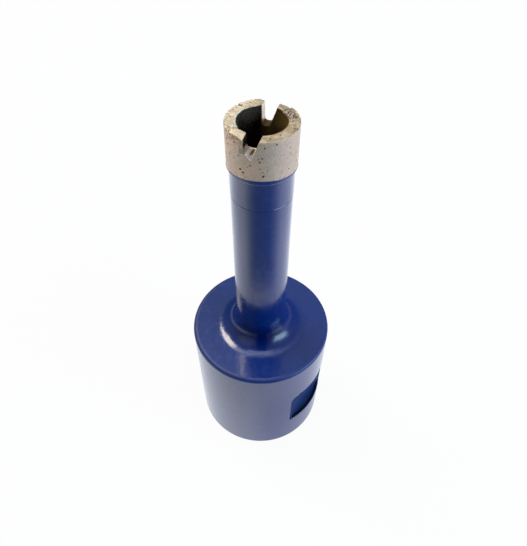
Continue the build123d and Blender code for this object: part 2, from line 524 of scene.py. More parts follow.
def sintered(bit):
    """Sintered metal: mottled and pitted, scored where worn, bright where cut, dark inside."""
    tints = bit.finish
    graph = new_material("crown_matrix")
    place = object_place(graph)
    x, y, z = graph.split(place)
    radius = from_axis(graph, x, y)
    top, bore, cut, stain, fresh, crumb, sweep = (
        graph.node("ShaderNodeAttribute", output=2, attribute_name=name)
        for name in (*MARKS, "sweep")
    )

    def streaks(*parts):
        """Noise in the plane or space of these parts, drawn out along the slower ones."""
        return graph.noise(graph.join(*parts), 1.0, roughness=0.6)

    # Mottling in three tints, with a paler grain, rosy on the right and finely scratched
    patch = graph.noise(place, 420.0, roughness=0.6)
    tint = graph.noise(graph.node("ShaderNodeMapping", (place, (0.01, 0.02, 0.03))), 700.0)
    grain = graph.noise(place, 3600.0, roughness=0.65)
    shade = graph.blend(graph.ease(patch, 0.40, 0.60), tints.matrix, tints.matrix_grey)
    shade = graph.blend(graph.ease(tint, 0.48, 0.64) * 0.6, shade, tints.matrix_green)
    shade = graph.blend(graph.ease(grain, 0.45, 0.75) * 0.3, shade, tints.worn)
    shade = graph.blend(graph.ease(x, -1.5 * MM, 3.0 * MM) * 0.6, shade, tints.matrix_rose)
    rise, turn = z / MM, sweep * radians(CROWN_RADIUS / MM)
    strokes = streaks((turn - rise) * 4.5, (turn + rise) * 1.3, radius * 900.0)
    shade = graph.blend(graph.ease(strokes, 0.46, 0.68) * 0.24, shade, tints.pore_and_shade)

    # The worn top is paler on the left, and scored round the axis
    score = streaks(radius * 4500.0, sweep * 0.06)
    smear = graph.ease(streaks(radius * 1300.0, sweep * 0.045, 3.0), 0.46, 0.58)
    scored = graph.ease(score * 0.7 + grain * 0.3, 0.40, 0.52)
    crack = graph.ease(score * 0.4 + grain * 0.6, 0.60, 0.66)
    right = graph.ease(x + (patch - 0.5) * 3.0 * MM, -2.5 * MM, 0.5 * MM)
    pale = graph.blend(scored, tints.matrix_green, tints.worn)
    pale = graph.blend(smear * 0.9, pale, tints.worn_pink)
    pale = graph.blend(graph.ease(tint, 0.50, 0.62) * 0.45, pale, tints.worn_tan)
    dull = graph.blend(scored, tints.worn_dark, tints.worn_tan)
    dull = graph.blend(smear * 0.9, dull, tints.worn_cream)
    worn = graph.blend(crack * 0.6, graph.blend(right, pale, dull), tints.pore_and_shade)
    shade = graph.blend(top * 0.95, shade, worn)
    shade = graph.blend(crumb * 0.9, shade, tints.crumbled)
    shade = graph.blend(fresh * (0.4 + 0.6 * graph.ease(grain, 0.35, 0.6)), shade, tints.fresh)

    # Pores, brown stains, and painted shade in crevices and under the front left flat
    pit = graph.ease(graph.noise(place, 5200.0, detail=1.0, roughness=0.4), 0.69, 0.74)
    shade = graph.blend(pit * 0.6, shade, tints.pore_and_shade)
    shade = graph.blend(stain * graph.ease(patch + grain, 0.75, 1.05), shade, tints.pore_and_shade)

    # Inside the bore: black on the left with paler patches near the top, brown with rusty patches
    # on the right
    side = graph.ease(x, -0.6 * MM, 1.2 * MM)
    bore_tint = graph.blend(side, tints.bore_black, tints.bore_brown)
    bore_tint = graph.blend(graph.ease(tint, 0.35, 0.65) * side * 0.7, bore_tint, tints.bore_red)
    paler_near_top = graph.ease(z, CROWN_TOP - 4.5 * MM, CROWN_TOP - 1.0 * MM)
    paler_near_top = paler_near_top * graph.ease(patch, 0.3, 0.6) * (0.45 + 1.1 * graph.ease(grain, 0.35, 0.65))
    bore_tint = graph.blend(paler_near_top * (1.0 - side), bore_tint, tints.bore_pale)
    bore_tint = graph.blend(graph.ease(grain, 0.45, 0.7) * (0.1 + 0.3 * side), bore_tint, tints.pore_and_shade)
    shade = graph.blend(bore, shade, bore_tint)

    powder = graph.noise(place, 11000.0, detail=2.0, roughness=0.6)
    height = grain * 0.35 + powder * 0.15 + patch * 0.8 + (1.0 - pit) * 0.25
    normal = bump(graph, height, 0.07 * MM)
    values = {
        "Base Color": shade,
        "Metallic": cut * 0.25 + (1.0 - bore) * 0.3,
        "Roughness": 0.60 - grain * 0.15 - cut * 0.25 + bore * 0.5 + fresh * 0.1,
        "Normal": normal,
    }
    metal = principled(graph, values)
    values = {"Base Color": shade, "Roughness": 1.0, "Specular IOR Level": 0.0, "Normal": normal}
    bore_matt = principled(graph, values)
    finish_material(graph, graph.node("ShaderNodeMixShader", (bore, metal, bore_matt)))


def diamond(bit):
    """Dark diamond grains with a dull sheen."""
    tints = bit.finish
    graph = new_material("diamond_grains")
    cloud = graph.noise(object_place(graph), 2500.0, detail=1.0)
    values = {
        "Base Color": graph.blend(graph.ease(cloud, 0.35, 0.7), tints.grit, tints.pore_and_shade),
        "Roughness": 0.45 + cloud * 0.2,
        "IOR": 1.4,
    }
    finish_material(graph, principled(graph, values))


# ---------------------------------------------------------------- shared mesh work

# Edges that turn by more than this stay sharp, in degrees
SHARP_ANGLE = 32.0


def new_piece(name, mesh, finishes=(), node=None):
    """Links a finished mesh as a piece that rides on the body."""
    mesh.name = name
    for finish in finishes:
        mesh.materials.append(bpy.data.materials[finish])
    piece = bpy.data.objects.new(name, mesh)
    bpy.context.scene.collection.objects.link(piece)
    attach(piece, BODY)
    if node:
        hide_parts(node)


def modified(mesh, kind, settings, inputs=()):
    """The plain mesh that a modifier with these settings and inputs makes from a mesh."""
    holder = bpy.data.objects.new("holder", mesh)
    bpy.context.scene.collection.objects.link(holder)
    modifier = holder.modifiers.new("work", kind)
    for key, value in settings.items():
        setattr(modifier, key, value)
    for identifier, value in inputs:
        modifier[identifier] = value
    bpy.context.view_layer.update()
    graph = bpy.context.evaluated_depsgraph_get()
    result = bpy.data.meshes.new_from_object(holder.evaluated_get(graph))
    holder.modifiers.remove(modifier)
    bpy.data.objects.remove(holder)
    return result


def even_bearings(columns):
    """So many bearings all round."""
    return [2 * pi * column / columns for column in range(columns)]


def lathe(rows, bearings, finish):
    """A closed turned mesh. Each row is a radius, or a radius for each bearing, and a height.

    finish gives the material's index from a row and a bearing. The UV map holds the share of
    the turn and the way along the profile, which is measured on one column.
    """
    across = len(bearings)
    measured = across // 3
    points = []
    for row_radius, height in rows:
        for bearing in bearings:
            radius = row_radius(bearing) if callable(row_radius) else row_radius
            points.append(ray(bearing) * radius + Vector((0.0, 0.0, height)))
    faces, marks, start = [], [], 0.0
    for row in range(len(rows)):
        here, there = row * across, (row + 1) % len(rows) * across
        end = start + (points[here + measured] - points[there + measured]).length
        for column in range(across):
            beside = (column + 1) % across
            left, right = column / across, (column + 1) / across
            faces.append((here + column, here + beside, there + beside, there + column))
            marks += [(left, start), (right, start), (right, end), (left, end)]
        start = end
    mesh = bpy.data.meshes.new("turned")
    mesh.from_pydata(points, [], faces)
    layer = mesh.uv_layers.new(name="turning")
    for loop, mark in zip(layer.data, marks):
        loop.uv = mark
    for index, polygon in enumerate(mesh.polygons):
        row, column = divmod(index, across)
        polygon.use_smooth = True
        polygon.material_index = finish(row, bearings[column])
    work = bmesh.new()
    work.from_mesh(mesh)
    bmesh.ops.recalc_face_normals(work, faces=work.faces)
    work.to_mesh(mesh)
    work.free()
    mesh.set_sharp_from_angle(angle=radians(SHARP_ANGLE))
    return mesh


def quarter(steps):
    """Angles from 0 to a right angle."""
    return [radians(90.0 * step / steps) for step in range(steps + 1)]


def arc(centre_radius, centre_height, size, start, stop, steps):
    """Rows along an arc of the turned profile. Angles are from outwards towards up."""
    rows = []
    for step in range(steps + 1):
        turn = radians(start + (stop - start) * step / steps)
        rows.append((centre_radius + size * cos(turn), centre_height + size * sin(turn)))
    return rows


# ---------------------------------------------------------------- drill body

# Distance of the rows that hold a rounded edge in its place
SUPPORT = 0.15 * MM

# Steps round a ledge's edges, a flat's corner and half of the groove at the seam
LEDGE_STEPS = 4
CORNER_STEPS = 12
GROOVE_STEPS = 6


def off_flat(bearing):
    """Angle from the middle of the nearer wrench flat."""
    turns = (bearing - FLAT_BEARING - side for side in (0.0, pi))
    return min(abs((turn + pi) % (2 * pi) - pi) for turn in turns)


def hub_radius_at(bearing):
    """Radius of the hub's wall where a wrench flat crosses it, with a rounded meeting."""
    softness = 0.02 * MM
    # Far from the flats their planes lie outside the hub, so that a held cosine changes nothing
    flat = FLAT_DISTANCE / max(cos(off_flat(bearing)), 0.1)
    return HUB_RADIUS - softness * log(1.0 + exp((HUB_RADIUS - flat) / softness))


def corner_wall(turn, corner):
    """The hub's radius by bearing, so far round the upper corners of the flats."""
    inset = corner - corner * cos(turn)
    reach = acos(FLAT_DISTANCE / HUB_RADIUS) - inset / HUB_RADIUS
    blunt = radians(0.6)

    def radius_at(bearing):
        share = min(max((reach - off_flat(bearing)) / blunt, 0.0), 1.0)
        return HUB_RADIUS - (HUB_RADIUS - hub_radius_at(bearing)) * share

    return radius_at


def ledge_rows(height, edge, upward, wall):
    """Rows over one ledge of the wrench flats, from the full wall into the flat."""
    rows = []
    for turn in quarter(LEDGE_STEPS):

        def outer(bearing, sink=edge - edge * cos(turn)):
            return HUB_RADIUS - min(HUB_RADIUS - wall(bearing), sink)

        rows.append((outer, height + upward * (edge * sin(turn) - edge)))
    for turn in quarter(LEDGE_STEPS):

        def inner(bearing, back=edge - edge * sin(turn)):
            depth = HUB_RADIUS - wall(bearing)
            return HUB_RADIUS - max(min(depth, edge), depth - back)

        rows.append((inner, height + upward * (edge - edge * cos(turn))))
    return rows


def hub_bearings(columns):
    """Bearings of the columns, closer together where the flats run out and at their corners."""
    half = acos(FLAT_DISTANCE / HUB_RADIUS)
    offsets = [radians(turn) for turn in (-1.4, -0.7, -0.25, 0.0, 0.25, 0.7, 1.4)]
    corners = [half - radians(1.8 + 0.4 * step) for step in range(22)]
    inner, outer = half - radians(10.6), half + radians(1.9)
    exact = []
    for middle in (FLAT_BEARING, FLAT_BEARING + pi):
        for way in (-1, 1):
            exact += [middle + way * half + offset for offset in offsets]
            exact += [middle + way * turn for turn in corners]
    kept = [turn for turn in even_bearings(columns) if not inner < off_flat(turn) < outer]
    return sorted(kept + [turn % (2 * pi) for turn in exact])


def groove_rows(radius, sizes, side):
    """Rows from a wall into the middle of the rounded groove at the seam above the tube."""
    rows = []
    for step in range(GROOVE_STEPS + 1):
        share = step / GROOVE_STEPS
        sink = (1.0 - cos(pi * share)) / 2 * sizes.seam_depth
        rows.append((radius - sink, TUBE_TOP + side * sizes.seam * (1.0 - share)))
    return rows


def outside_rows(sizes):
    """The body's profile up the outside, and the rows that lie in the flats' pockets."""
    hub, tube, top = HUB_RADIUS, sizes.tube_radius, sizes.hub_length
    low = FLAT_PLACE.z - sizes.flat_height / 2
    high = FLAT_PLACE.z + sizes.flat_height / 2
    chamfer, blunt = sizes.foot_chamfer, 0.03 * MM
    past = sizes.flat_edge + SUPPORT
    edge, corner = sizes.hub_edge, sizes.flat_corner
    fillet_top = top + sizes.shoulder

    rows = [(hub - chamfer, 0.0), (hub - blunt, chamfer - blunt), (hub, chamfer + blunt)]
    rows += [(hub, chamfer + SUPPORT), (hub, low - past)]
    pocket_foot = len(rows)
    rows += ledge_rows(low, sizes.flat_edge, 1, hub_radius_at)
    rows += [(hub_radius_at, low + past)]
    for turn in quarter(CORNER_STEPS):
        wall = corner_wall(turn, corner)
        rows += [(wall, high - past - corner + corner * sin(turn))]
    rows += reversed(ledge_rows(high, sizes.flat_edge, -1, wall))
    pocket = range(pocket_foot + LEDGE_STEPS, len(rows) - LEDGE_STEPS - 1)
    rows += [(hub, high + past), (hub, top - edge - SUPPORT)]
    rows += arc(hub - edge, top - edge, edge, 0.0, 90.0, 8)
    rows += [(hub - edge - SUPPORT, top), (tube + sizes.shoulder + SUPPORT, top)]
    rows += arc(tube + sizes.shoulder, fillet_top, sizes.shoulder, 270.0, 180.0, 24)
    rows += [(tube, fillet_top + SUPPORT), (tube, TUBE_TOP - sizes.seam - SUPPORT)]
    rows += groove_rows(tube, sizes, -1)
    return rows, pocket


def inside_rows(sizes):
    """The body's profile down the bore, the drill point's cone and the thread's wall."""
    bore, wall = sizes.bore_radius, THREAD_RADIUS
    top, foot = THREAD_MIDDLE + THREAD_WALL / 2, THREAD_MIDDLE - THREAD_WALL / 2
    slope = tan(sizes.point_angle / 2)
    point = top + (wall - bore) / slope
    return [
        (bore, TUBE_TOP),
        (bore, point + SUPPORT),
        (bore, point),
        (bore + SUPPORT, point - SUPPORT / slope),
        (wall - SUPPORT, top + SUPPORT / slope),
        (wall, top),
        (wall, top - SUPPORT),
        (wall, foot + SUPPORT),
        (wall, foot),
        (wall + foot, 0.0),
    ]


class COREBIT_OT_drill_body(Operator):
    """Turns the enamelled body, with its shoulder, wrench flats and bare socket"""

    bl_idname = "corebit.drill_body"
    bl_label = "Drill Body"

    def execute(self, context):
        sizes = context.scene.corebit.body
        outside, pocket = outside_rows(sizes)
        rows = outside + inside_rows(sizes)

        def finish(row, bearing):
            """Bare steel inside, and matt enamel where a pocket's face lies under the wall."""
            just_past = bearing + 0.001
            if row >= len(outside) - 1:
                return 1
            if row not in pocket:
                return 0
            return 2 if rows[row][0](just_past) < HUB_RADIUS - 0.01 * MM else 0

        mesh = lathe(rows, hub_bearings(sizes.columns), finish)
        finishes = ("gloss_enamel", "bare_steel", "milled_enamel")
        new_piece("drill_body_turned", mesh, finishes, "drill_body")
        return {"FINISHED"}


# ---------------------------------------------------------------- spindle thread


def new_geometry_tree(name, inputs):
    """The graph of a geometry tree, and its inputs by name: a mesh, these and a material."""
    tree = bpy.data.node_groups.new(name, "GeometryNodeTree")
    tree.interface.new_socket("Geometry", in_out="OUTPUT", socket_type="NodeSocketGeometry")
    kinds = {"Geometry": "NodeSocketGeometry", **inputs, "Material": "NodeSocketMaterial"}
    for label, kind in kinds.items():
        tree.interface.new_socket(label, in_out="INPUT", socket_type=kind)
    graph = Graph(tree)
    entry = graph.node("NodeGroupInput").socket.node
    return graph, {socket.name: Field(graph, socket) for socket in entry.outputs if socket.name}


def finish_tree(graph, geometry, material):
    """Ends a geometry tree in a plain mesh of one material."""
    values = {"Geometry": graph.node("GeometryNodeRealizeInstances", {"Geometry": geometry})}
    values["Material"] = material
    graph.node("NodeGroupOutput", (graph.node("GeometryNodeSetMaterial", values),))
    return graph.tree


def grow(mesh, tree, values):
    """The plain mesh that a geometry tree makes from a mesh and these named values."""
    items = [item for item in tree.interface.items_tree if item.in_out == "INPUT"]
    inputs = [(item.identifier, values[item.name]) for item in items if item.name in values]
    return modified(mesh, "NODES", {"node_group": tree}, inputs)


def moved(graph, geometry, how, amounts):
    """A geometry after a translation or a rotation."""
    return graph.node("GeometryNodeTransform", {"Geometry": geometry, how: amounts})


def thread_tree():
    """A ridge swept up a helix, running out at both ends."""
    names = ("Pitch", "Turns", "Wall Radius", "Depth", "Crest", "Root", "Foot", "Fade")
    graph, given = new_geometry_tree("spindle_thread", dict.fromkeys(names, "NodeSocketFloat"))
    values = {
        "Resolution": 96,
        "Rotations": given["Turns"],
        "Start Radius": given["Wall Radius"],
        "End Radius": given["Wall Radius"],
        "Height": given["Turns"] * given["Pitch"],
        "Reverse": False,
    }
    spiral = graph.node("GeometryNodeCurveSpiral", values)
    spiral = graph.node("GeometryNodeSetCurveNormal", {"Curve": spiral}, mode="Z_UP")
    values = {
        "Height": given["Depth"],
        "Bottom Width": given["Root"],
        "Top Width": given["Crest"],
        "Offset": 0.0,
    }
    ridge = graph.node("GeometryNodeCurvePrimitiveQuadrilateral", values, mode="TRAPEZOID")
    ridge = moved(graph, ridge, "Translation", graph.join(0.0, given["Depth"] / 2))
    ridge = moved(graph, ridge, "Rotation", (0.0, 0.0, pi / 2))
    part = graph.node("GeometryNodeSplineParameter")
    rise = graph.ease(part, 0.0, given["Fade"])
    fall_off = graph.ease(1.0 - part, 0.0, given["Fade"])
    values = {
        "Curve": spiral,
        "Profile Curve": ridge,
        "Scale": rise * fall_off,
        "Fill Caps": True,
    }
    swept = graph.node("GeometryNodeCurveToMesh", values)
    swept = moved(graph, swept, "Translation", graph.join(0.0, 0.0, given["Foot"]))
    return finish_tree(graph, swept, given["Material"])


class COREBIT_OT_spindle_thread(Operator):
    """Winds the spindle thread up the wall of the socket"""

    bl_idname = "corebit.spindle_thread"
    bl_label = "Spindle Thread"

    def execute(self, context):
        sizes = context.scene.corebit.thread
        turns = (THREAD_WALL - sizes.root) / sizes.pitch
        values = {
            "Pitch": sizes.pitch,
            "Turns": turns,
            "Wall Radius": THREAD_RADIUS,
            "Depth": sizes.depth,
            "Crest": sizes.crest,
            "Root": sizes.root,
            "Foot": THREAD_MIDDLE - turns * sizes.pitch / 2,
            "Fade": sizes.fade,
            "Material": bpy.data.materials["bare_steel"],
        }
        mesh = grow(bpy.data.meshes.new("empty"), thread_tree(), values)
        new_piece("spindle_thread", mesh)
        return {"FINISHED"}


# ---------------------------------------------------------------- backing ring


def coat_height(bearing, sizes):
    """How far the enamel runs up over the crown's foot at a bearing."""
    ripple = noise.noise(ray(bearing) * 3.1) * 0.05 * MM
    return sizes.coat_side + sizes.coat_front * max(0.0, cos(bearing)) ** 1.5 + ripple


def coat_rows(sizes):
    """Rows of the enamel's skin, round the crown's lower edge and up to where it ends."""
    out = CROWN_RADIUS + sizes.coat
    bead, sunk = 0.11 * MM, CROWN_RADIUS - 0.15 * MM
    slopes = ((0.0, 0.42), (0.04, 0.32), (0.14, 0.22), (0.32, 0.13), (0.55, 0.07))
    rows = [
        (RING_RADIUS + (out - RING_RADIUS) * share, RING_TOP - drop * MM)
        for share, drop in slopes
    ]
    rows += arc(out - bead, RING_TOP + 0.08 * MM, bead, -60.0, 0.0, 5)
    for level in range(18):
        height = (0.14 + 0.045 * level) * MM

        def skin(bearing, height=height):
            """The skin's surface, which dips into the crown where the enamel ends."""
            past = (height - coat_height(bearing, sizes)) / (0.08 * MM)
            return out - 2.0 * sizes.coat * min(max(past + 1.0, 0.0), 1.0)

        rows.append((skin, RING_TOP + height))
    return rows + [(sunk, rows[-1][1]), (sunk, RING_TOP)]


class COREBIT_OT_backing_ring(Operator):
    """Turns the enamelled ring that carries the crown"""

    bl_idname = "corebit.backing_ring"
    bl_label = "Backing Ring"

    def execute(self, context):
        sizes = context.scene.corebit.body
        rows = [(sizes.bore_radius, TUBE_TOP)]
        rows += reversed(groove_rows(RING_RADIUS, sizes, 1))
        rows += [(RING_RADIUS, TUBE_TOP + sizes.seam + SUPPORT)]
        rows += coat_rows(sizes)
        wall = len(rows) - 1
        rows += [(sizes.bore_radius, RING_TOP)]

        def finish(row, bearing):
            return 0 if 0 < row < wall else 1

        mesh = lathe(rows, even_bearings(sizes.columns), finish)
        finishes = ("gloss_enamel", "bare_steel")
        new_piece("backing_ring_turned", mesh, finishes, "backing_ring")
        return {"FINISHED"}


# ---------------------------------------------------------------- diamond crown


class Break(NamedTuple):
    """A flat break: where its face passes, which way it faces and how far it reaches."""

    bearing: float
    radius: float
    depth: float
    facing: float
    rise: float
    reach: float
    stain: float = 0.0
    fresh: float = 0.0


# In degrees and millimetres, with the depth counted from the top
BREAKS = (
    # Front left: the long bevel under the flat, and the corners beside it
    Break(-43.9, 4.75, 0.13, -46.7, 25.0, 2.30, 0.3),
    Break(-84.0, 4.98, 0.20, -75.0, 40.0, 0.34, 0.2, 0.8),
    Break(-68.0, 4.98, 0.34, -66.0, 30.0, 0.40, 0.6),
    # Back left, up to the slot
    Break(-137.0, 4.72, 0.16, -134.0, 50.0, 0.45, 1.0),
    Break(-141.0, 4.35, 0.10, -120.0, 62.0, 0.35, 1.0),
    Break(-149.0, 4.95, 0.10, -160.0, 60.0, 0.25, 0.6),
    Break(-166.0, 4.96, 0.09, -166.0, 35.0, 0.30, 0.8),
    Break(178.5, 4.85, 0.16, 150.0, 48.0, 0.45),
    Break(177.0, 3.62, 0.10, 120.0, 45.0, 0.30, 0.3, 0.6),
    # Right
    Break(147.0, 3.55, 0.10, 170.0, 45.0, 0.25),
    Break(86.0, 4.90, 0.14, 80.0, 50.0, 0.32, 1.0),
    Break(101.0, 4.95, 0.16, 100.0, 35.0, 0.35, 0.4),
    # Front right, beside the slot
    Break(-3.0, 3.52, 0.08, -150.0, 50.0, 0.32, 0.3),
    Break(-3.5, 4.95, 0.10, -40.0, 40.0, 0.25, 0.0, 0.7),
    Break(22.0, 5.00, 0.10, 22.0, 45.0, 0.35, 0.0, 0.9),
    Break(12.0, 3.47, 0.08, -168.0, 45.0, 0.30, 0.3),
)

# Large grains on the outer wall: bearing, depth and radius
WALL_GRAINS = (
    (-34.6, 4.72, 0.19), (-29.8, 5.16, 0.21), (2.3, 5.31, 0.20), (0.2, 2.37, 0.15),
    (-3.3, 3.01, 0.16), (-17.9, 3.69, 0.15), (21.1, 0.53, 0.15), (3.7, 0.83, 0.14),
    (-36.8, 2.65, 0.11), (-44.1, 0.98, 0.16), (-62.3, 2.09, 0.12), (-64.3, 1.31, 0.14),
    (45.0, 5.05, 0.11), (65.9, 4.80, 0.11), (45.9, 1.75, 0.10), (46.7, 2.68, 0.10),
    (-4.8, 2.55, 0.10), (-21.5, 4.05, 0.10), (-2.6, 4.10, 0.11), (9.0, 4.35, 0.11),
    (-57.0, 3.30, 0.10), (1.2, 4.60, 0.10),
)

# Large grains on the top: bearing, distance from the axis and radius
TOP_GRAINS = (
    (34.3, 4.05, 0.17), (12.9, 4.43, 0.14), (64.0, 4.61, 0.13), (65.3, 4.95, 0.13),
    (-101.0, 4.30, 0.12), (-122.0, 4.60, 0.10), (-158.0, 4.40, 0.12), (-168.0, 4.10, 0.10),
)

# Parts of the crown by bearing: a middle one, two ends counted from it, and how far the part
# fades past them, all in degrees
SECTORS = {
    "spall": (0.0, -38.0, -2.0, 2.0),
    "spall_left": (-31.0, -4.0, 4.0, 2.0),
    "front_flank": (-35.0, -9.0, 6.0, 1.0),
    "back_floor": (BACK_SLOT, -20.0, 20.0, 3.0),
    "front_left_flat": (-45.0, -14.5, 19.0, 1.0),
    "front_left_wall": (-47.0, -14.0, 12.0, 4.0),
    "left_inner_rim": (-95.0, -40.0, 50.0, 12.0),
    "left_top": (-115.0, -50.0, 60.0, 12.0),
    "left_rim": (-152.0, -16.0, 14.0, 5.0),
    "crumbled": (110.0, -22.0, 19.0, 5.0),
    "right_rim": (113.0, -15.0, 18.0, 4.0),
    "burr": (93.0, -2.0, 2.0, 1.5),
}


def crown_solid(voxel):
    """A fine, even mesh of the crown's own solid."""
    work = bmesh.new()
    work.from_mesh(frame["nodes"]["diamond_crown"].data)
    bmesh.ops.remove_doubles(work, verts=work.verts, dist=0.001 * MM)
    mesh = bpy.data.meshes.new("crown_blank")
    work.to_mesh(mesh)
    work.free()
    return modified(mesh, "REMESH", {"mode": "VOXEL", "voxel_size": voxel})


def ramp(values, low, high):
    """0 up to low, 1 from high on, and smooth between them."""
    share = np.clip((values - low) / (high - low), 0.0, 1.0)
    return share * share * (3.0 - 2.0 * share)


def fall(values, low, high):
    """1 up to low, 0 from high on, and smooth between them."""
    return 1.0 - ramp(values, low, high)


def window(values, low, high, soft):
    """1 between low and high, and 0 outside them."""
    return ramp(values, low - soft, low) * fall(values, high, high + soft)


def turned(bearings, middle):
    """Bearings in degrees from a middle one, from -180 to 180."""
    return (bearings - middle + 180.0) % 360.0 - 180.0


class Crown:
    """The crown's vertices while they are worked on, in millimetres, with the top at height 0.

    Bearings, distances from the axis, depths and the surface noise stay those of the solid.
    """

    def __init__(self, mesh):
        self.mesh = mesh
        count = len(mesh.vertices)
        places = np.empty(count * 3)
        mesh.vertices.foreach_get("co", places)
        self.places = places.reshape(count, 3) / MM - (0.0, 0.0, CROWN_TOP / MM)
        normals = np.empty(count * 3)
        mesh.vertex_normals.foreach_get("vector", normals)
        self.normals = normals.reshape(count, 3)
        x, y, z = self.places.T
        self.bearing = np.degrees(np.arctan2(x, -y))
        self.radius = np.hypot(x, y)
        self.depth = -z
        self.fine = self.cloud(0.45, 4)
        self.broad = self.cloud(1.9, 2, seed=1.0)

        outwards = (self.normals[:, :2] * self.places[:, :2]).sum(axis=1) / self.radius
        wall, inner = CROWN_RADIUS / MM, CORE_RADIUS / MM
        top = ramp(self.normals[:, 2], 0.45, 0.75) * fall(self.depth, 0.8, 1.1)
        side = ramp(outwards, 0.6, 0.9) * ramp(self.radius, wall - 0.25, wall - 0.1)
        bore = ramp(-outwards, 0.5, 0.8) * fall(self.radius, inner + 0.1, inner + 0.3)
        self.side = side * (1.0 - top)
        self.marks = dict.fromkeys(MARKS, np.zeros(count))
        self.marks["top"] = top
        self.marks["bore"] = bore * (1.0 - top)
        self.marks["cut"] = (1.0 - top) * (1.0 - side) * (1.0 - bore)
        self.marks["sweep"] = turned(self.bearing, FRONT_SLOT)

    def sector(self, name):
        """1 in a named part of the crown, and 0 outside it."""
        middle, start, end, soft = SECTORS[name]
        return window(turned(self.bearing, middle), start, end, soft)

    def cloud(self, size, octaves, seed=0.0):
        """Fractal noise about 0 at each vertex, with its largest waves of this size."""
        shift = Vector((seed * 7.31, seed * 3.17, seed * 5.73))
        places = (Vector(place) / size + shift for place in self.places)
        return np.array([noise.fractal(place, 1.0, 2.0, octaves) for place in places])

    def scoring(self, width, turn):
        """Noise about 0 that is drawn out round the axis, over so many degrees."""
        pairs = zip(self.radius / width, self.marks["sweep"] / turn)
        places = (Vector((far, along, 4.4)) for far, along in pairs)
        return np.array([noise.fractal(place, 1.0, 2.0, 3) for place in places])

    def crystals(self, size):
        """0 in the middle of each crystal and rising towards its edges."""
        found = (noise.voronoi(Vector(place) / size)[0] for place in self.places)
        return np.array([1.0 - min(1.0, (near[1] - near[0]) * 1.6) for near in found])

    def push(self, distances):
        """Moves each vertex along its first normal."""
        self.places += self.normals * distances[:, None]

    def sink(self, drops):
        """Lowers the top, and the upper part of the walls with it."""
        share = np.clip(1.0 - self.depth / 1.6, 0.0, 1.0)
        self.places[:, 2] -= drops * share

    def mark(self, name, amounts):
        """Raises a mask to these amounts."""
        self.marks[name] = np.maximum(self.marks[name], amounts)

    def break_off(self, chip, rough):
        """Takes away what stands past a break's face, and leaves that a little rough."""
        spot = np.array(ray(radians(chip.bearing))) * chip.radius + (0.0, 0.0, -chip.depth)
        facing = np.array(ray(radians(chip.facing), radians(chip.rise)))
        away = self.places - spot
        near = fall(np.linalg.norm(away, axis=1), chip.reach * 0.72, chip.reach)
        past = np.maximum(away @ facing + rough * self.fine, 0.0) * near
        self.places -= past[:, None] * facing
        taken = ramp(past, 0.01, 0.05)
        self.mark("stain", taken * chip.stain)
        self.mark("fresh", taken * chip.fresh)

    def store(self):
        """Writes the vertices and the masks back to the mesh."""
        places = (self.places + (0.0, 0.0, CROWN_TOP / MM)) * MM
        self.mesh.vertices.foreach_set("co", places.ravel())
        for name, amounts in self.marks.items():
            layer = self.mesh.attributes.new(name, "FLOAT", "POINT")
            layer.data.foreach_set("value", amounts)
        self.mesh.update()


# Front left, by the distance from the axis: where a lip ends the worn top and a flat begins
LIP_RADII = (3.45, 3.72, 4.28, 4.59, 4.94, 5.10)
LIP_BEARINGS = (-66.0, -66.5, -67.5, -73.5, -80.9, -84.0)
FLAT_BEARINGS = (-51.0, -57.0, -61.0, -61.0, -59.4, -59.0)


def front_left(crown):
    """The hollow behind the lip, and how far the broken front left part lies under the top."""
    lip = np.interp(crown.radius, LIP_RADII, LIP_BEARINGS)
    flat = np.interp(crown.radius, LIP_RADII, FLAT_BEARINGS)
    share = np.clip((crown.bearing - lip) / (flat - lip), 0.0, 1.0)
    hollow = ramp(crown.bearing, lip, lip + 1.3) * fall(crown.bearing, flat - 1.5, flat)
    # The flat dips towards the front, and rises a little towards the wall
    dip = 0.1 * (crown.places @ np.array(ray(radians(-12.7)))) - 0.276
    rise = np.maximum(crown.radius - 3.5, 0.0) * 0.142
    on_flat = crown.sector("front_left_flat")
    return hollow, hollow * (0.24 - 0.17 * share) + on_flat * (dip - rise)


def roughen(crown, sizes):
    """Roughens all surfaces, and makes the spall under the front slot a heap of crystals."""
    top, cut = crown.marks["top"], crown.marks["cut"]
    spall = cut * crown.sector("spall")
    spall = spall * ramp(crown.depth, 1.55, 1.8) * ramp(crown.radius, 3.5, 3.9)
    crystals = crown.crystals(0.36)
    # A crevice crosses the heap, further to the left the deeper it is
    off = np.abs(turned(crown.bearing, -15.5) + 5.4 * (crown.depth - 1.87))
    crevice = fall(off, 1.0, 2.4) * window(crown.depth, 1.8, 2.4, 0.1)
    grains = (sizes.side_grain * crown.side + sizes.top_grain * top) / MM
    grains += sizes.cut_grain / MM * cut * (1.0 - spall)
    crown.push(grains * crown.fine + sizes.spall_grain / MM * spall * (0.3 - crystals))
    crown.push(-0.14 * spall * crevice)

    # Painted shade darkens the crevice and the gaps between the crystals, and the spall's left
    # part is darkened brown
    left = crown.sector("spall_left") * fall(crown.depth, 2.1, 2.3)
    dark = np.maximum(crevice, 0.7 * left)
    gaps = ramp(crystals, 0.75, 1.0)
    crown.mark("fresh", spall * (1.0 - dark) * (1.0 - 0.4 * gaps))
    crown.mark("stain", np.maximum(spall * np.maximum(dark, 0.3 * gaps), 0.5 * left * crown.side))
    return spall


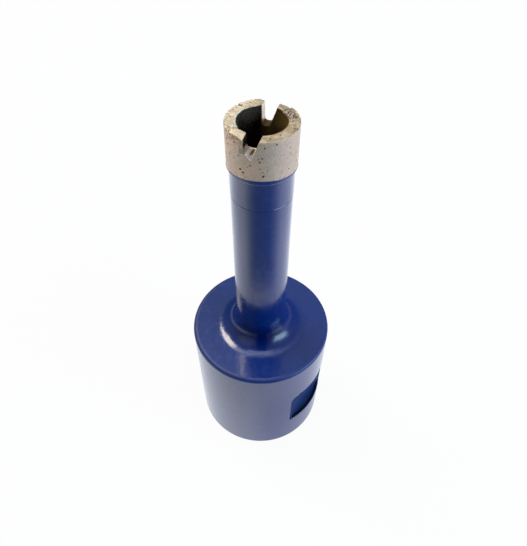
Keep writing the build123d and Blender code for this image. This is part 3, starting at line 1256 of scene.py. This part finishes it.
def soil_slots(crown, spall):
    """The bore's dark colour over parts of the slots, pale fresh breaks beside them with a
    painted glint on the back slot's left flank, and painted shade under the front left flat.
    """
    fine, depth, radius = crown.fine, crown.depth, crown.radius
    cut = crown.marks["cut"]
    back = turned(crown.bearing, BACK_SLOT)
    floor = crown.sector("back_floor") * ramp(depth, 2.7, 3.0)
    flank = crown.sector("front_flank") * fall(depth, 1.5, 1.8)
    inner = fall(radius + 0.2 * fine, 4.8, 5.05)
    crown.mark("bore", cut * (1.0 - spall) * np.maximum(0.93 * floor, flank * inner))
    # A painted glint: the back slot's left flank takes the pale fresh colour, partly a real fresh
    # break and partly its grazing reflection
    bright = ramp(back, 4.0, 8.0) * fall(depth, 2.5, 2.8) * (back < 40.0)
    crown.mark("fresh", cut * bright * ramp(radius, 3.6, 3.8) * (0.75 + 0.5 * fine))
    # Painted shade on the outer wall under the front left flat's edge
    under = crown.sector("front_left_wall") * window(depth, 0.25, 0.9, 0.25)
    crown.mark("stain", under * crown.side * (0.45 + 0.4 * fine))
    rim = crown.marks["top"] * fall(radius + 0.15 * fine, 3.55, 3.7)
    crown.mark("fresh", 0.6 * rim * crown.sector("left_inner_rim"))
    crown.marks["cut"] = cut * (1.0 - spall)


def wear_top(crown, sizes):
    """Scores the worn top, crumbles it at the back right and leaves a burr on its rims."""
    top, fine, radius = crown.marks["top"], crown.fine, crown.radius
    crumbled = crown.sector("crumbled") * fall(radius, 4.6, 5.0)
    lumps = crown.crystals(0.5)
    on_left = ramp(-crown.places[:, 0], -2.0, 2.5)
    hollow, drops = front_left(crown)
    drops += hollow * 0.05 * (crown.crystals(0.6) - 0.5) + 0.03 * crown.broad
    drops += (1.0 - crumbled) * 0.035 * crown.scoring(0.22, 16.0) * on_left
    drops += crumbled * sizes.crumble / MM * (lumps - 0.15 + 0.5 * fine)
    right_rim = crown.sector("right_rim") * ramp(radius, 4.5, 4.9)
    drops += right_rim * (0.03 + 0.12 * fine)
    left_rim = crown.sector("left_rim") * ramp(radius, 4.7, 4.95)
    drops -= left_rim * (0.05 + 0.10 * fine)
    left_top = crown.sector("left_top")
    drops += left_top * (0.10 * crown.crystals(1.1) + ramp(radius, 4.3, 4.95) * 0.16 * fine)
    burr = crown.sector("burr") * ramp(radius, 4.8, 5.0)
    crown.sink(drops - 0.09 * burr)
    crown.mark("crumb", top * crumbled)
    # Painted shade, partly brown stain, in the crevices between the crumbled lumps
    crown.mark("stain", top * crumbled * ramp(lumps + 0.5 * fine, 0.3, 0.8))
    crown.mark("stain", top * hollow * ramp(fine, -0.1, 0.3) * 0.7)
    crown.mark("fresh", top * hollow * ramp(-fine, 0.0, 0.3) * 0.8)


def chip_rims(crown, sizes):
    """Makes the large breaks, and then small chips anywhere along both rims."""
    for chip in BREAKS:
        crown.break_off(chip, 0.02)
    chance = np.random.default_rng(sizes.seed)
    for _ in range(sizes.rim_chips):
        outer = chance.random() < 0.6
        far, turn = (CROWN_RADIUS, 0.0) if outer else (CORE_RADIUS, 180.0)
        bearing = chance.uniform(-180.0, 180.0)
        chip = Break(
            bearing,
            far / MM,
            chance.uniform(0.05, 0.13),
            bearing + turn + chance.uniform(-30.0, 30.0),
            chance.uniform(30.0, 60.0),
            chance.uniform(0.12, 0.30),
            chance.random() * 0.6,
        )
        crown.break_off(chip, 0.015)


def seat_grains(crown):
    """Gives the vertices where the large grains sit the grains' radii."""
    seats = np.zeros(len(crown.places))
    spots = [(bearing, CROWN_RADIUS / MM, depth, size) for bearing, depth, size in WALL_GRAINS]
    spots += [(bearing, far, 0.0, size) for bearing, far, size in TOP_GRAINS]
    for bearing, far, depth, size in spots:
        spot = np.array(ray(radians(bearing))) * far + (0.0, 0.0, -depth)
        gap = np.linalg.norm(crown.places - spot, axis=1) + crown.marks["bore"] * 9.0
        seats[np.argmin(gap)] = size * MM
    crown.marks["seat"] = seats


class COREBIT_OT_diamond_crown(Operator):
    """Forms the sintered crown, with its slots, chips and worn top"""

    bl_idname = "corebit.diamond_crown"
    bl_label = "Diamond Crown"

    def execute(self, context):
        sizes = context.scene.corebit.crown
        mesh = crown_solid(sizes.voxel)
        crown = Crown(mesh)
        soil_slots(crown, roughen(crown, sizes))
        wear_top(crown, sizes)
        chip_rims(crown, sizes)
        seat_grains(crown)
        crown.store()
        mesh.shade_smooth()
        mesh.materials.clear()
        finishes = ("crown_matrix",)
        new_piece("diamond_crown_worn", mesh, finishes, "diamond_crown")
        return {"FINISHED"}


# ---------------------------------------------------------------- diamond grains


def grit_tree():
    """Crystals sunk into a surface: large ones in their seats and small ones anywhere."""
    kinds = {"Density": "NodeSocketFloat", "Radius": "NodeSocketFloat", "Seed": "NodeSocketInt"}
    graph, given = new_geometry_tree("diamond_grit", kinds)
    surface, seed = given["Geometry"], given["Seed"]
    seat, bore = (
        graph.node("GeometryNodeInputNamedAttribute", (name,), data_type="FLOAT")
        for name in ("seat", "bore")
    )
    crystal = graph.node("GeometryNodeMeshIcoSphere", {"Radius": 1.0, "Subdivisions": 1})
    full_turns = (6.283,) * 3
    values = {0: (0.0, 0.0, 0.0), 1: full_turns, "Seed": seed}
    turn = graph.node("FunctionNodeRandomValue", values, data_type="FLOAT_VECTOR")
    values = {2: 0.6, 3: 1.4, "Seed": seed}
    spread = graph.node("FunctionNodeRandomValue", values, output=1, data_type="FLOAT")

    def planted(points, normal, size, chosen):
        """Crystals of a size on points, a third of them under the surface."""
        lowered = {"Geometry": points, "Offset": graph.scaled(normal, size * -0.35)}
        values = {
            "Points": graph.node("GeometryNodeSetPosition", lowered),
            "Selection": chosen,
            "Instance": crystal,
            "Rotation": turn,
            "Scale": size,
        }
        return graph.node("GeometryNodeInstanceOnPoints", values)

    facing = graph.node("GeometryNodeInputNormal")
    large = planted(surface, facing, seat, seat > 0.001 * MM)
    values = {"Mesh": surface, "Density": given["Density"], "Seed": seed}
    scatter = graph.node(
        "GeometryNodeDistributePointsOnFaces", values, distribute_method="RANDOM"
    )
    facing = Field(graph, scatter.socket.node.outputs["Normal"])
    small = planted(scatter, facing, spread * given["Radius"], bore < 0.5)
    both = graph.node("GeometryNodeJoinGeometry", (large,))
    graph.tree.links.new(small.socket, both.socket.node.inputs[0])
    return finish_tree(graph, both, given["Material"])


class COREBIT_OT_diamond_grit(Operator):
    """Scatters the diamond grains over the crown"""

    bl_idname = "corebit.diamond_grit"
    bl_label = "Diamond Grit"

    def execute(self, context):
        sizes = context.scene.corebit.crown
        crown = bpy.data.objects["diamond_crown_worn"].data.copy()
        values = {
            "Density": sizes.grit_density,
            "Radius": sizes.grit_radius,
            "Seed": sizes.seed,
            "Material": bpy.data.materials["diamond_grains"],
        }
        new_piece("diamond_grit", grow(crown, grit_tree(), values))
        return {"FINISHED"}


# ---------------------------------------------------------------- finishes as an operator


class COREBIT_OT_finishes(Operator):
    """Mixes the enamel, the bare steel, the sintered metal and the grit"""

    bl_idname = "corebit.finishes"
    bl_label = "Finishes"

    def execute(self, context):
        for make in (enamel, milled_enamel, turned_steel, sintered, diamond):
            make(context.scene.corebit)
        return {"FINISHED"}


# ---------------------------------------------------------------- stage

# Lamps: name, setting, bearing and elevation in degrees, width and height in metres
PANELS = (
    ("ceiling_panel", "ceiling", 0.0, 90.0, 0.25, 0.25),
    ("warm_lamp", "lamp", -125.0, 59.0, 0.18, 0.14),
    ("cool_window", "window", 65.0, 20.0, 0.32, 0.20),
)
PANEL_DISTANCE = 0.45

# Brighter patches of the sky: setting, bearing, elevation, and where they begin and cease to
# fade, in degrees
SKY_PATCHES = (
    ("back_sky", 180.0, 62.0, 14.0, 33.0),
    ("left_sky", -90.0, 45.0, 15.0, 50.0),
    ("right_sky", 90.0, 45.0, 15.0, 50.0),
    ("front_sky", -45.0, 30.0, 12.0, 30.0),
)

WHITE = (1.0, 1.0, 1.0)
FLOOR_REACH = 3.0


def place_camera(scene, stage):
    """Sets the camera up in front of the bit and above it."""
    pitch, yaw, roll = stage.camera_pitch, stage.camera_yaw, stage.camera_roll
    forward = ray(pi - yaw, -pitch)
    level = Vector((cos(yaw), -sin(yaw), 0.0))
    lift = level.cross(forward)
    right = level * cos(roll) + lift * sin(roll)
    up = lift * cos(roll) - level * sin(roll)
    lens = bpy.data.cameras.new("camera")
    lens.sensor_fit = "VERTICAL"
    lens.sensor_height = 36.0
    lens.lens = stage.focal
    lens.clip_start = 1.0 * MM
    lens.clip_end = 20.0
    camera = bpy.data.objects.new("camera", lens)
    scene.collection.objects.link(camera)
    axes = Matrix((right, up, -forward)).transposed().to_4x4()
    axes.translation = Vector((0.0, -stage.camera_back, stage.camera_up))
    camera.matrix_world = axes
    scene.camera = camera


def place_panel(scene, name, direction, size, radiance):
    """A rectangular lamp that faces the middle of the bit, with the radiance that it shows."""
    brightest = max(*radiance, 1e-6)
    lamp = bpy.data.lights.new(name, "AREA")
    lamp.shape = "RECTANGLE"
    lamp.size, lamp.size_y = size
    lamp.energy = brightest * pi * size[0] * size[1]
    lamp.color = [part / brightest for part in radiance]
    holder = bpy.data.objects.new(name, lamp)
    scene.collection.objects.link(holder)
    target = Vector((0.0, 0.0, 30.0 * MM))
    holder.location = target + direction * PANEL_DISTANCE
    holder.rotation_euler = direction.to_track_quat("Z", "Y").to_euler()


def light_world(scene, stage):
    """Soft light from all round with brighter patches, and plain white to the camera."""
    world = bpy.data.worlds.new("studio")
    world.use_nodes = True
    graph = Graph(world.node_tree)
    direction = graph.node("ShaderNodeTexCoord", output=0)
    shade = graph.join(*stage.sky)
    for key, bearing, elevation, inner, outer in SKY_PATCHES:
        axis = ray(radians(bearing), radians(elevation))
        share = graph.cone(direction, axis, inner, outer)
        shade = graph.vector("ADD", shade, graph.scaled(tuple(getattr(stage, key)), share))
    camera_ray = graph.node("ShaderNodeLightPath", output=0)
    sky = graph.node("ShaderNodeBackground", (graph.blend(camera_ray, shade, WHITE), 1.0))
    graph.node("ShaderNodeOutputWorld", (sky,))
    scene.world = world


def add_plane(scene, name, corners):
    """A single face that belongs to the stage, in the material of its name."""
    mesh = bpy.data.meshes.new(name)
    mesh.from_pydata(corners, [], [tuple(range(len(corners)))])
    mesh.materials.append(bpy.data.materials[name])
    plane = bpy.data.objects.new(name, mesh)
    scene.collection.objects.link(plane)
    return plane


def lay_floor(scene, stage):
    """A pale floor that shows white, takes the bit's shadow and is in shade at the front."""
    graph = new_material("floor")
    matt = graph.node("ShaderNodeBsdfDiffuse", ((*stage.floor, 1.0), 1.0))
    white = graph.node("ShaderNodeEmission", ((*WHITE, 1.0), 1.0))
    shown = graph.node("ShaderNodeMixShader", (0.95, matt, white))

    # What the bit sees of it is darker in front, beside the bit and far away
    x, y, _ = graph.split(object_place(graph))
    away = from_axis(graph, x, y)
    way = graph.vector("NORMALIZE", graph.join(x, y))
    shaded = graph.cone(way, ray(radians(4.0)), 10.0, 75.0)
    shaded = shaded * graph.ease(away, 34.0 * MM, 46.0 * MM)
    tint = graph.blend(shaded, stage.floor_glow, stage.front_glow)
    shadow = graph.cone(way, ray(radians(40.0)), 10.0, 55.0)
    shadow = shadow * graph.fade(away, 18.0 * MM, 30.0 * MM)
    strength = 1.0 + 0.25 * graph.ease(away, 36.0 * MM, 56.0 * MM)
    strength = strength * (1.0 - 0.5 * graph.ease(away, 110.0 * MM, 190.0 * MM))
    felt = graph.node("ShaderNodeEmission", (tint, strength * (1.0 - 0.3 * shadow)))
    camera_ray = graph.node("ShaderNodeLightPath", output=0)
    finish_material(graph, graph.node("ShaderNodeMixShader", (camera_ray, felt, shown)))

    reach, sunk = FLOOR_REACH, -0.02 * MM
    sides = ((-1, -1), (1, -1), (1, 1), (-1, 1))
    add_plane(scene, "floor", [(right * reach, back * reach, sunk) for right, back in sides])


def stand_card(scene, stage):
    """A dark card behind the camera, which only reflections and shadows show."""
    graph = new_material("dark_card")
    finish_material(graph, graph.node("ShaderNodeBsdfDiffuse", ((*stage.card, 1.0), 1.0)))
    left, right, high, away = -stage.card_left, stage.card_right, stage.card_top, -stage.card_back
    corners = [(left, away, 0.0), (right, away, 0.0), (right, away, high), (left, away, high)]
    add_plane(scene, "dark_card", corners).visible_camera = False


class COREBIT_OT_stage(Operator):
    """Sets up the floor, the lamps and the camera"""

    bl_idname = "corebit.stage"
    bl_label = "Stage"

    def execute(self, context):
        scene = context.scene
        stage = scene.corebit.stage
        scene.view_settings.view_transform = "Standard"
        place_camera(scene, stage)
        light_world(scene, stage)
        lay_floor(scene, stage)
        stand_card(scene, stage)
        for name, key, bearing, elevation, width, height in PANELS:
            direction = ray(radians(bearing), radians(elevation))
            place_panel(scene, name, direction, (width, height), getattr(stage, key))
        return {"FINISHED"}


# ---------------------------------------------------------------- panel and registration


STEPS = (
    COREBIT_OT_stage,
    COREBIT_OT_finishes,
    COREBIT_OT_drill_body,
    COREBIT_OT_spindle_thread,
    COREBIT_OT_backing_ring,
    COREBIT_OT_diamond_crown,
    COREBIT_OT_diamond_grit,
)


class COREBIT_PT_panel(Panel):
    """Lists the operators in the order in which they run"""

    bl_idname = "COREBIT_PT_panel"
    bl_label = "Core Bit"
    bl_space_type = "VIEW_3D"
    bl_region_type = "UI"
    bl_category = "Core Bit"

    def draw(self, context):
        for step in STEPS:
            self.layout.operator(step.bl_idname)


CLASSES = (
    BodySettings,
    ThreadSettings,
    CrownSettings,
    FinishSettings,
    StageSettings,
    CoreBitSettings,
    *STEPS,
    COREBIT_PT_panel,
)


def register():
    """Registers the classes and hangs the settings on the scene."""
    for kind in CLASSES:
        bpy.utils.register_class(kind)
    bpy.types.Scene.corebit = PointerProperty(type=CoreBitSettings)


def unregister():
    """Takes the settings and the classes away again."""
    del bpy.types.Scene.corebit
    for kind in reversed(CLASSES):
        bpy.utils.unregister_class(kind)


def main():
    """Builds every piece in order."""
    register()
    bpy.ops.corebit.stage()
    bpy.ops.corebit.finishes()
    bpy.ops.corebit.drill_body()
    bpy.ops.corebit.spindle_thread()
    bpy.ops.corebit.backing_ring()
    bpy.ops.corebit.diamond_crown()
    bpy.ops.corebit.diamond_grit()


if __name__ == "__main__":
    main()
